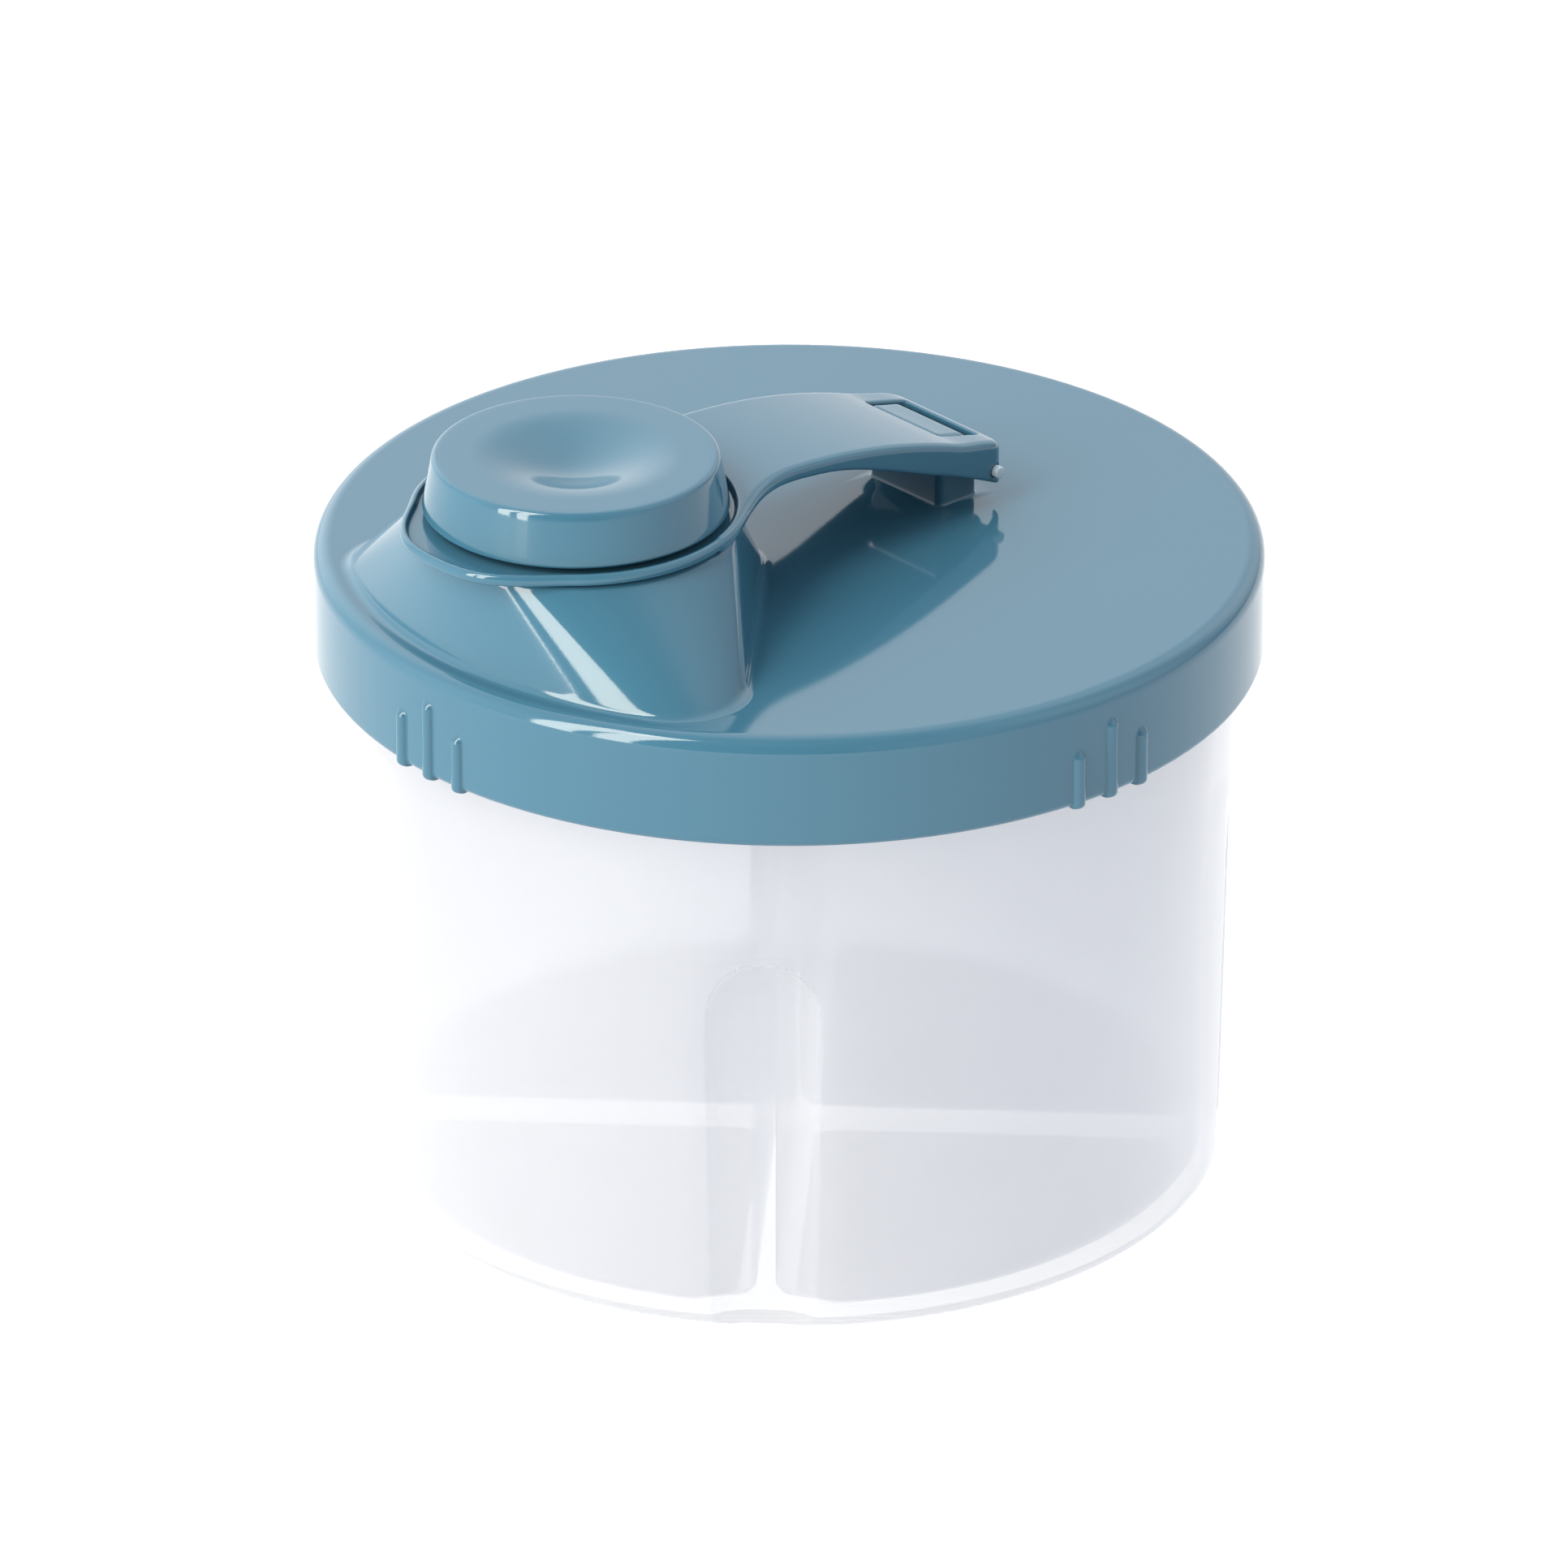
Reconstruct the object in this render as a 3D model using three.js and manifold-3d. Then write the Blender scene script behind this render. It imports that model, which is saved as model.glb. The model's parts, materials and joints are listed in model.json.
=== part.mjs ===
// Formula dispenser: a round four-compartment pot with a lid that turns on it and lifts off,
// a pouring chute in the lid over one compartment, and a flip cap that closes the chute.
// Millimetres, +Z up. The origin is the centre of the pot's base, on the surface it stands on.
// The chute points to -Y, the flip cap's hinge runs along X on the +Y side, and the pot's
// dividers stand on the two diagonals.
import * as THREE from "three";
import { ConvexGeometry } from "three/addons/geometries/ConvexGeometry.js";
import { mergeVertices } from "three/addons/utils/BufferGeometryUtils.js";
import Module from "manifold-3d";

// ---- Driving dimensions ----
const GAP = 0.3; // clearance between pieces that touch or slide
const ROUND_STEPS = 64; // facets round a full turn of the pot and the lid
const SMALL_STEPS = 40; // facets round a full turn of the spout's pieces
const PIN_STEPS = 16;

const POT = {
  baseRadius: 56.1, // outer radius just above the base's rounded edge
  edgeRound: 2,
  shoulderRadius: 57.7, // outer radius just under the lid
  shoulderZ: 72.5,
  neckRadius: 57.2, // inside the lid's skirt
  beadRadius: 57.9, // snap bead round the neck
  beadZ: 76.6,
  beadHalf: 1,
  rimZ: 82,
  floor: 2,
  boreBase: 54.3, // inner radius at the floor
  boreRim: 55.5, // inner radius at the rim
  boreRound: 2.5,
};
const DIVIDER = { angles: [45, 135], thickness: 2.3, topZ: 83.1, topRadius: 54.9 };
const FLUTE = {
  angles: [45, 135, 225, 315], // outside each divider's two ends
  halfWidth: 7.15,
  halfFlat: 1.9,
  depth: 3,
  topZ: 45, // where the round top begins
  wall: 1.8,
  radius: 56.9,
};

const LID = {
  radius: 60.9,
  skirtZ: 70.8,
  topZ: 85.5,
  plate: 2,
  round: 2.2,
  skirtRound: 0.9,
  bore: 58.4, // inner radius of the skirt
  mouthBore: 58.7, // inner radius at the skirt's lower edge
  beadRadius: 58.15,
  beadZ: 74.6,
};
const RIB = { radius: 0.95, proud: 0.7, angle: 5, lowZ: 70.4, height: 7.9, middleHeight: 10.9 };
const RIM_SEAL = { inner: 55.8, outer: 57.6, bevel: 0.25 };

const CHUTE = {
  outerRadius: 57, // outer wall's foot on the lid's top
  sideOffset: 2.7, // side wall's foot from the divider plane
  cornerRound: 9,
  innerRound: 6.5, // rounding of the corner nearest the lid's centre
  wall: 1.7,
  mouthY: -36,
  mouthRadius: 20.5,
  height: 13.5, // above the lid's top
};

// Heights of the flip cap's pieces are above the lid's top.
const CAP = {
  radius: 21.2, // round the mouth's axis
  thumbReach: 2.7, // how much further the lip stands out towards -Y, as a thumb rest
  thumbFull: 12, // half-angles in degrees over which the thumb rest is full, and fades out
  thumbEnd: 48,
  topZ: 15.4,
  lipWidth: 0.95,
  troughZ: 14.6, // floor of the trough between the lip and the knob
  bottomZ: 13.8,
  drumZ: 17.2, // top of the raised drum that the knob is pressed on
  plugRadius: 16.9,
  plugBore: 15.3,
  plugZ: 9.5,
  grooveRadius: 16,
  grooveLowZ: 11.1,
  grooveHighZ: 12.9,
  drumWall: 1.5,
};
const ARM = {
  wall: 1.2,
  peakY: -13, // the top is an arch from here to the hinge
  peakZ: 16.1,
  archRadius: 96,
  edgeY: -20, // and so is the lower edge of the side skirts
  edgeZ: 15.1,
  edgeRadius: 95,
  endY: 28,
  halfWidth: 11.2,
  endHalfWidth: 10.6,
  taperY: 20,
  filletRadius: 7, // in plan, between the round plate and the arm
  endRound: 2.5,
};
const SLOT = { halfWidth: 7, lowY: 19.3, highY: 26.2 };

const PIN = { y: 26.2, z: 4.6, radius: 0.8, halfLength: 11.4, clearance: 0.05 };
// The lid's hinge lug stands up through the arm's slot, and the pin passes through its boss.
const LUG = { halfWidth: 6.4, frontY: 19.9, crestY: 24.4, backY: 26.4, drop: 0.6, bevel: 0.5, boss: 1.45 };

const KNOB = {
  bottomZ: 15.5,
  topZ: 22.5,
  bottomRadius: 19.5,
  room: 0.5, // clearance round its foot
  topRadius: 18.15,
  edgeRound: 0.6,
  wall: 1.8,
  dishRadius: 13.5,
  dishDepth: 2.4,
};
const SPOUT_SEAL = { inner: 16.3, outer: 17.8, lowZ: 11.4, highZ: 12.6, bevel: 0.25 };

// ---- Geometry helpers ----
const wasm = await Module();
wasm.setup();
const radians = THREE.MathUtils.degToRad;

// A closed geometry as a manifold-3d solid.
function solid(geometry) {
  const bare = new THREE.BufferGeometry();
  const source = geometry.index ? geometry.toNonIndexed() : geometry;
  bare.setAttribute("position", source.getAttribute("position"));
  const merged = mergeVertices(bare, 1e-4);
  return new wasm.Manifold(
    new wasm.Mesh({
      numProp: 3,
      vertProperties: merged.attributes.position.array,
      triVerts: new Uint32Array(merged.index.array),
    }),
  );
}

function named(name, body, material) {
  const mesh = body.getMesh();
  const geometry = new THREE.BufferGeometry();
  geometry.setAttribute("position", new THREE.BufferAttribute(mesh.vertProperties, 3));
  geometry.setIndex(new THREE.BufferAttribute(mesh.triVerts, 1));
  geometry.computeVertexNormals();
  const part = new THREE.Mesh(geometry, material);
  part.name = name;
  return part;
}

// Turns a closed outline of [radius, z] points, anticlockwise, about the Z axis at x = 0, y.
function revolve(outline, y = 0, steps = ROUND_STEPS) {
  const closed = [...outline, outline[0]];
  const points = closed.map(([r, z]) => new THREE.Vector2(r, z));
  const turned = new THREE.LatheGeometry(points, steps).rotateX(Math.PI / 2);
  return solid(turned.translate(0, y, 0));
}

// An outline of [x, y] points raised from lowZ to highZ.
function prism(outline, lowZ, highZ) {
  const shape = new THREE.Shape(outline.map(([x, y]) => new THREE.Vector2(x, y)));
  const raised = new THREE.ExtrudeGeometry(shape, { depth: highZ - lowZ, bevelEnabled: false });
  return solid(raised.translate(0, 0, lowZ));
}

// An outline of [y, z] points spread from lowX to highX.
function sidePrism(outline, lowX, highX) {
  const shape = new THREE.Shape(outline.map(([y, z]) => new THREE.Vector2(y, z)));
  const spread = new THREE.ExtrudeGeometry(shape, { depth: highX - lowX, bevelEnabled: false });
  // The shape's x, y and depth become the part's y, z and x.
  const axes = new THREE.Matrix4().set(0, 0, 1, lowX, 1, 0, 0, 0, 0, 1, 0, 0, 0, 0, 0, 1);
  return solid(spread.applyMatrix4(axes));
}

function block(sizeX, sizeY, sizeZ, x, y, z, turn = 0) {
  const box = new THREE.BoxGeometry(sizeX, sizeY, sizeZ);
  return solid(box.rotateZ(turn).translate(x, y, z));
}

// Points of an arc from one angle to another, in degrees, both ends included.
function arc(x, y, radius, from, to, steps) {
  return Array.from({ length: steps + 1 }, (_, i) => {
    const a = radians(from + ((to - from) * i) / steps);
    return [x + radius * Math.cos(a), y + radius * Math.sin(a)];
  });
}

// A shallow arch's height at y, from its highest point and its radius.
function arch(y, peakY, peakZ, radius) {
  return LID.topZ + peakZ - radius + Math.sqrt(radius ** 2 - (y - peakY) ** 2);
}

const armTop = (y) => arch(y, ARM.peakY, ARM.peakZ, ARM.archRadius);
const skirtEdge = (y) => arch(y, ARM.edgeY, ARM.edgeZ, ARM.edgeRadius);

// ---- Pot ----
function potOutline() {
  const p = POT;
  return [
    [0, 0],
    ...arc(p.baseRadius - p.edgeRound, p.edgeRound, p.edgeRound, -90, 0, 3),
    [p.shoulderRadius, p.shoulderZ],
    [p.neckRadius, p.shoulderZ + 1],
    [p.neckRadius, p.beadZ - p.beadHalf],
    [p.beadRadius, p.beadZ],
    [p.neckRadius, p.beadZ + p.beadHalf],
    [p.neckRadius, p.rimZ],
    [0, p.rimZ],
  ];
}

function potBore() {
  const p = POT;
  return revolve([
    [0, p.floor],
    ...arc(p.boreBase - p.boreRound, p.floor + p.boreRound, p.boreRound, -90, 0, 3),
    [p.boreRim, p.rimZ + 2],
    [0, p.rimZ + 2],
  ]);
}

// How deep a flute is at a distance from its middle: flat, then a smooth rise to nothing.
function fluteDepth(distance) {
  const { halfWidth, halfFlat, depth } = FLUTE;
  const t = (distance - halfFlat) / (halfWidth - halfFlat);
  return depth * 0.5 * (1 + Math.cos(Math.PI * t));
}

// A vertical flute with a round top, cut inwards from the pot's wall at an angle in degrees.
// grow makes it wider and deeper by a wall, which is the pilaster that backs it inside the pot.
function flute(angle, grow) {
  const steps = 6;
  const outside = 4; // how far the cutting body stands out of the pot
  const right = Array.from({ length: steps + 1 }, (_, i) => {
    const u = FLUTE.halfFlat + ((FLUTE.halfWidth - FLUTE.halfFlat) * i) / steps;
    return [u + grow, -fluteDepth(u) - grow];
  });
  const left = right.map(([u, v]) => [-u, v]).reverse();
  const edge = FLUTE.halfWidth + grow;
  const channel = prism([...left, ...right, [edge, outside], [-edge, outside]], -1, FLUTE.topZ);
  const half = [[0, outside], [0, right[0][1]], ...right, [edge, outside], [0, outside]];
  const section = half.map(([u, v]) => new THREE.Vector2(u, v));
  const dome = solid(new THREE.LatheGeometry(section, 24).translate(0, 0, FLUTE.topZ));
  // The flute is made at the +Y side with its depth along -Y, then turned to its angle.
  return channel.add(dome).translate([0, FLUTE.radius, 0]).rotate([0, 0, angle - 90]);
}

// A divider across the whole pot at an angle in degrees, from lowZ to highZ.
function dividerWall(angle, length, lowZ, highZ) {
  return block(length, DIVIDER.thickness, highZ - lowZ, 0, 0, (lowZ + highZ) / 2, radians(angle));
}

function makePot() {
  let pockets = potBore();
  for (const angle of DIVIDER.angles)
    pockets = pockets.subtract(dividerWall(angle, 2 * POT.baseRadius, 0, POT.rimZ + 3));
  for (const angle of FLUTE.angles) pockets = pockets.subtract(flute(angle, FLUTE.wall));
  let body = revolve(potOutline()).subtract(pockets);
  for (const angle of FLUTE.angles) body = body.subtract(flute(angle, 0));
  // The dividers' crests stand a little above the rim, up to the underside of the lid.
  for (const angle of DIVIDER.angles) {
    const crest = dividerWall(angle, 2 * DIVIDER.topRadius, POT.rimZ - 10, DIVIDER.topZ);
    body = body.add(crest);
  }
  return body;
}

// ---- Lid ----
function lidOutline() {
  const d = LID;
  const underside = d.topZ - d.plate;
  return [
    [0, underside],
    [d.bore - 1, underside],
    [d.bore, underside - 1],
    [d.bore, d.beadZ + 0.8],
    [d.beadRadius, d.beadZ],
    [d.bore, d.beadZ - 0.8],
    [d.mouthBore, d.skirtZ],
    ...arc(d.radius - d.skirtRound, d.skirtZ + d.skirtRound, d.skirtRound, -90, 0, 2),
    ...arc(d.radius - d.round, d.topZ - d.round, d.round, 0, 90, 4),
    [0, d.topZ],
  ];
}

// The chute's foot: a quarter-round sector about -Y with rounded corners, inset by a wall.
function chuteFoot(inset) {
  const outer = CHUTE.outerRadius - inset;
  const side = CHUTE.sideOffset + inset;
  const corner = CHUTE.cornerRound - inset;
  const inner = CHUTE.innerRound - inset;
  const reach = outer - corner;
  const lean = 45 - THREE.MathUtils.radToDeg(Math.asin((side + corner) / reach));
  const cornerX = reach * Math.sin(radians(lean));
  const cornerY = -reach * Math.cos(radians(lean));
  const front = arc(0, 0, outer, -90, -90 + lean, 7);
  const round = arc(cornerX, cornerY, corner, -90 + lean, 45, 6);
  const tip = arc(0, -(side + inner) * Math.SQRT2, inner, 45, 90, 4);
  const right = [...front, ...round, ...tip];
  const left = right.slice(1, -1).map(([x, y]) => [-x, y]);
  return [...right, ...left.reverse()];
}

// The funnel from the foot up to the round mouth, as the hull of the two outlines.
function funnel(inset, lowZ, highZ) {
  const mouth = arc(0, CHUTE.mouthY, CHUTE.mouthRadius - inset, 0, 360, SMALL_STEPS);
  const low = chuteFoot(inset).map(([x, y]) => new THREE.Vector3(x, y, lowZ));
  const high = mouth.slice(1).map(([x, y]) => new THREE.Vector3(x, y, highZ));
  return solid(new ConvexGeometry([...low, ...high]));
}

function gripRib(angle, height) {
  const straight = height - RIB.radius;
  const reach = LID.radius + RIB.proud - RIB.radius;
  const shaft = new THREE.CylinderGeometry(RIB.radius, RIB.radius, straight, 12);
  const cap = new THREE.SphereGeometry(RIB.radius, 12, 8);
  const upright = solid(shaft.rotateX(Math.PI / 2).translate(0, 0, straight / 2));
  const round = solid(cap.rotateX(Math.PI / 2).translate(0, 0, straight));
  return upright.add(round).translate([reach, 0, RIB.lowZ]).rotate([0, 0, angle]);
}

// A block whose top follows the arm's arch, a little lower, and whose back is round the pin.
function hingeLug() {
  const { frontY, crestY, backY, drop, bevel, boss, halfWidth } = LUG;
  const foot = LID.topZ - 0.5;
  const crown = (y) => armTop(y) - drop;
  const steps = 4;
  const top = Array.from({ length: steps + 1 }, (_, i) => {
    const y = crestY + ((frontY + bevel - crestY) * i) / steps;
    return [y, crown(y)];
  });
  const outline = [
    [frontY, foot],
    [backY, foot],
    ...arc(PIN.y, LID.topZ + PIN.z, boss, -80, 120, 10),
    [crestY + bevel, crown(crestY) - bevel],
    ...top,
    [frontY, crown(frontY) - bevel],
  ];
  return sidePrism(outline, -halfWidth, halfWidth);
}

function pinRod(radius, halfLength) {
  const rod = new THREE.CylinderGeometry(radius, radius, 2 * halfLength, PIN_STEPS);
  return solid(rod.rotateZ(Math.PI / 2).translate(0, PIN.y, LID.topZ + PIN.z));
}

function makeLid() {
  const foot = LID.topZ - 0.5;
  const mouthZ = LID.topZ + CHUTE.height;
  let body = revolve(lidOutline()).add(funnel(0, foot, mouthZ));
  body = body.subtract(funnel(CHUTE.wall, LID.topZ - LID.plate - 0.01, mouthZ + 0.01));
  for (const side of [0, 90, 180, 270])
    for (const place of [-1, 0, 1]) {
      const height = place === 0 ? RIB.middleHeight : RIB.height;
      body = body.add(gripRib(side + place * RIB.angle, height));
    }
  const hole = pinRod(PIN.radius + PIN.clearance, PIN.halfLength);
  return body.add(hingeLug().subtract(hole));
}

// ---- Flip cap ----

// The round plate's radius at an angle in degrees from -Y: a circle with a thumb rest.
function plateRadius(angle) {
  const { thumbEnd, thumbFull, thumbReach, radius } = CAP;
  const inside = thumbEnd - Math.abs(angle);
  return radius + thumbReach * THREE.MathUtils.smoothstep(inside, 0, thumbEnd - thumbFull);
}

// The plate in plan, inset by a width, from one angle to another (degrees from -Y).
function platePlan(inset, from, to, steps) {
  return Array.from({ length: steps + 1 }, (_, i) => {
    const angle = from + ((to - from) * i) / steps;
    const r = plateRadius(angle) - inset;
    return [r * Math.sin(radians(angle)), CHUTE.mouthY - r * Math.cos(radians(angle))];
  });
}

// The cap in plan: the plate, a fillet, and the arm with its rounded end, inset by a wall.
function capPlan(inset) {
  const plate = CAP.radius - inset;
  const half = ARM.halfWidth - inset;
  const fillet = ARM.filletRadius + inset;
  const filletX = half + fillet;
  const filletY = CHUTE.mouthY + Math.sqrt((plate + fillet) ** 2 - filletX ** 2);
  const lean = THREE.MathUtils.radToDeg(Math.atan2(filletY - CHUTE.mouthY, filletX));
  const endX = ARM.endHalfWidth - inset - ARM.endRound;
  const right = [
    ...platePlan(inset, 0, 90 + lean, 22),
    ...arc(filletX, filletY, fillet, 180 + lean, 180, 4).slice(1),
    [half, ARM.taperY],
    ...arc(endX, ARM.endY - ARM.endRound, ARM.endRound, 0, 90, 4),
  ];
  const left = right.slice(1).map(([x, y]) => [-x, y]);
  return [...right, ...left.reverse()];
}

// What lies under the arm's top lowered by drop, and above its skirts' edge lowered by reach.
function armSide(fromY, toY, drop, reach) {
  const steps = 14;
  const stations = Array.from({ length: steps + 1 }, (_, i) => fromY + ((toY - fromY) * i) / steps);
  const top = stations.map((y) => [y, armTop(y) - drop]);
  const low = stations.map((y) => [y, skirtEdge(y) - reach]);
  return sidePrism([...low, ...top.reverse()], -30, 30);
}

// The arm: the cap's plan between its two arches, hollowed from beneath and open at its end,
// with the slot for the lid's hinge lug.
function makeArm() {
  const z = LID.topZ;
  const rootY = CHUTE.mouthY + CAP.radius - 3; // inside the plate's edge
  const outer = prism(capPlan(0), z, z + 30).intersect(armSide(rootY, ARM.endY + 1, 0, 0));
  const channelY = CHUTE.mouthY + CAP.radius + 1;
  const channelSide = armSide(channelY, ARM.endY + 1, ARM.wall, 20);
  const channel = prism(capPlan(ARM.wall), z - 20, z + 30).intersect(channelSide);
  const slotY = (SLOT.lowY + SLOT.highY) / 2;
  const slot = block(2 * SLOT.halfWidth, SLOT.highY - SLOT.lowY, 40, 0, slotY, z + 10);
  return outer.subtract(channel).subtract(slot);
}

// The plate over the mouth: a thin disc with a raised lip, a drum that carries the knob,
// and a hollow plug below with a groove for its seal.
function makePlate() {
  const c = CAP;
  const z = LID.topZ;
  const disc = prism(platePlan(0, -180, 172, 44), z + c.bottomZ, z + c.topZ);
  const trough = prism(platePlan(c.lipWidth, -180, 172, 44), z + c.troughZ, z + c.topZ + 1);
  const drum = revolve(
    [
      [0, z + c.plugZ],
      [c.plugRadius - 0.5, z + c.plugZ],
      [c.plugRadius, z + c.plugZ + 0.5],
      [c.plugRadius, z + c.grooveLowZ],
      [c.grooveRadius, z + c.grooveLowZ],
      [c.grooveRadius, z + c.grooveHighZ],
      [c.plugRadius, z + c.grooveHighZ],
      [c.plugRadius, z + c.drumZ],
      [0, z + c.drumZ],
    ],
    CHUTE.mouthY,
    SMALL_STEPS,
  );
  return disc.subtract(trough).add(drum);
}

function makeFlipCap() {
  const c = CAP;
  const z = LID.topZ;
  const hollowTop = z + c.drumZ - c.drumWall;
  const hollow = revolve(
    [
      [0, z + c.plugZ - 1],
      [c.plugBore, z + c.plugZ - 1],
      [c.plugBore, hollowTop - 1],
      [c.plugBore - 1, hollowTop],
      [0, hollowTop],
    ],
    CHUTE.mouthY,
    SMALL_STEPS,
  );
  // The knob's foot needs room where the arm stands higher than the plate.
  const foot = KNOB.bottomRadius + KNOB.room;
  const knobRoom = revolve(
    [
      [0, z + c.troughZ],
      [foot, z + c.troughZ],
      [foot, z + 30],
      [0, z + 30],
    ],
    CHUTE.mouthY,
    SMALL_STEPS,
  );
  const hole = pinRod(PIN.radius + PIN.clearance, PIN.halfLength + 2);
  const arm = makeArm().subtract(knobRoom).subtract(hole);
  return makePlate().add(arm).subtract(hollow);
}

function makeKnob() {
  const k = KNOB;
  const z = LID.topZ;
  // The dish is a shallow bowl: its outline drops by a cosine from the rim to the middle.
  const dish = (r) => z + k.topZ - k.dishDepth * 0.5 * (1 + Math.cos((Math.PI * r) / k.dishRadius));
  const radii = [0, 0.2, 0.4, 0.6, 0.8, 1].map((t) => t * k.dishRadius);
  const bowl = radii.map((r) => [r, dish(r)]).reverse();
  const under = radii.map((r) => [r, dish(r) - k.wall]);
  const lean = (k.bottomRadius - k.topRadius) / (k.topZ - k.bottomZ);
  return revolve(
    [
      ...under,
      [k.topRadius - k.wall, z + k.topZ - k.wall],
      [k.bottomRadius - k.wall, z + k.bottomZ],
      [k.bottomRadius, z + k.bottomZ],
      [k.topRadius + lean * k.edgeRound, z + k.topZ - k.edgeRound],
      [k.topRadius - k.edgeRound, z + k.topZ],
      ...bowl,
    ],
    CHUTE.mouthY,
    SMALL_STEPS,
  );
}

// A flat ring of rectangular section with bevelled edges.
function ring(inner, outer, lowZ, highZ, bevel, y, steps) {
  const section = [
    [inner, lowZ],
    [outer - bevel, lowZ],
    [outer, lowZ + bevel],
    [outer, highZ - bevel],
    [outer - bevel, highZ],
    [inner, highZ],
  ];
  return revolve(section, y, steps);
}

function makeRimSeal() {
  const s = RIM_SEAL;
  const high = LID.topZ - LID.plate - GAP;
  return ring(s.inner, s.outer, POT.rimZ + GAP, high, s.bevel, 0, ROUND_STEPS);
}

function makeSpoutSeal() {
  const s = SPOUT_SEAL;
  const z = LID.topZ;
  return ring(s.inner, s.outer, z + s.lowZ, z + s.highZ, s.bevel, CHUTE.mouthY, SMALL_STEPS);
}

// ---- Materials and assembly ----
const frosted = new THREE.MeshStandardMaterial({
  color: 0xeef0f5,
  roughness: 0.35,
  metalness: 0,
  transparent: true,
  opacity: 0.45,
});
const blue = new THREE.MeshStandardMaterial({ color: 0x6a95b2, roughness: 0.25, metalness: 0 });
const silicone = new THREE.MeshStandardMaterial({ color: 0xe6e9ec, roughness: 0.6, metalness: 0 });
const clear = new THREE.MeshStandardMaterial({ color: 0xd5dde2, roughness: 0.3, metalness: 0 });

const dispenser = new THREE.Group();
dispenser.add(named("container", makePot(), frosted));
dispenser.add(named("rim_seal", makeRimSeal(), silicone));

const lidGroup = new THREE.Group();
lidGroup.add(named("lid", makeLid(), blue));
lidGroup.add(named("hinge_pin", pinRod(PIN.radius, PIN.halfLength), clear));
dispenser.add(lidGroup);

const capGroup = new THREE.Group();
capGroup.add(named("flip_cap", makeFlipCap(), blue));
capGroup.add(named("thumb_knob", makeKnob(), blue));
capGroup.add(named("spout_seal", makeSpoutSeal(), silicone));
dispenser.add(capGroup);

export default dispenser;
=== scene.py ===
"""Looks of the formula dispenser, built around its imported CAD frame.

Shapes are worked out in millimetres in the part's own frame and written in metres: the origin is the
centre of the pot's base, +Z is up, the chute points to -Y and the flip cap's hinge runs along X.
"""
import json
import math

import bmesh
import bpy
import numpy as np
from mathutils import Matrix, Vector


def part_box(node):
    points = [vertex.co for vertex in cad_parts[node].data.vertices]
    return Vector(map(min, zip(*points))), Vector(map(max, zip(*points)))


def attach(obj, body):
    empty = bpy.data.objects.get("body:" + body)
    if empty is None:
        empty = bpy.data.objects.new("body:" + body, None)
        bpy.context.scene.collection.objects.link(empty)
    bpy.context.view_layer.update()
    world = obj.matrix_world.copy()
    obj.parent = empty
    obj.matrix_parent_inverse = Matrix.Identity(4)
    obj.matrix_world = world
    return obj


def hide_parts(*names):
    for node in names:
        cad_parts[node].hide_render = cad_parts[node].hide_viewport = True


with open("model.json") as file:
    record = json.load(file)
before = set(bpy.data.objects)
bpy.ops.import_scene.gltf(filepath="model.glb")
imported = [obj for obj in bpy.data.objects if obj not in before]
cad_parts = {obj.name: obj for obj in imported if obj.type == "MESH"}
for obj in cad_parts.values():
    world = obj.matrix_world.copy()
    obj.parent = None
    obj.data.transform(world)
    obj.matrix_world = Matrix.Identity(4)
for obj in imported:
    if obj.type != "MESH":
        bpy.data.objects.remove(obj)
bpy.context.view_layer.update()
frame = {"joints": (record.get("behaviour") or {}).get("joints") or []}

MM = 0.001
JOINTS = {joint["name"]: joint for joint in frame["joints"]}

# ---- Driving dimensions, in millimetres ----
LID_TOP = JOINTS["lid_turn"]["pos_m"][2] / MM
PIN_Y, PIN_Z = (JOINTS["cap_flip"]["pos_m"][axis] / MM for axis in (1, 2))
PIN_RADIUS = (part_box("hinge_pin")[1].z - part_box("hinge_pin")[0].z) / MM / 2
PIN_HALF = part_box("hinge_pin")[1].x / MM
PIN_PLAY = 0.05
POT_RIM = 82.0
DIVIDER_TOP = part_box("container")[1].z / MM
DIVIDER_HALF = 1.15
FLOOR_Z = 2.0
MOUTH_Y = -36.0
MOUTH_RADIUS = 20.5
MOUTH_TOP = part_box("lid")[1].z / MM
CHUTE_WALL = 1.7
LID_RADIUS = 60.9
SKIRT_Z = 70.8
PLATE_BOTTOM = LID_TOP - 2.0
LUG_HALF = 6.8


# ---- Meshes from points ----
def mesh_piece(name, points, faces, normals=None):
    """A new object from points in millimetres. Without normals, faces turn outwards by themselves."""
    mesh = bpy.data.meshes.new(name)
    mesh.from_pydata((np.asarray(points) * MM).tolist(), [], [list(map(int, face)) for face in faces])
    if normals is None:
        work = bmesh.new()
        work.from_mesh(mesh)
        bmesh.ops.recalc_face_normals(work, faces=work.faces)
        work.to_mesh(mesh)
        work.free()
    mesh.shade_smooth()
    if normals is not None:
        mesh.normals_split_custom_set_from_vertices(normals.tolist())
    piece = bpy.data.objects.new(name, mesh)
    bpy.context.scene.collection.objects.link(piece)
    return piece


def closed_rows(rows, ring=False, caps=True):
    """Points and faces of rows of points, each row a closed loop. A ring's last row joins its first;
    otherwise the first and last rows are filled."""
    rows = np.asarray(rows, float)
    count, width = rows.shape[:2]
    index = np.arange(count * width).reshape(count, width)
    if ring:
        index = np.vstack([index, index[:1]])
    after = np.roll(index, -1, axis=1)
    faces = np.stack([index[:-1], after[:-1], after[1:], index[1:]], -1).reshape(-1, 4).tolist()
    if caps and not ring:
        faces += [index[0].tolist(), index[-1].tolist()]
    return rows.reshape(-1, 3), faces


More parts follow.
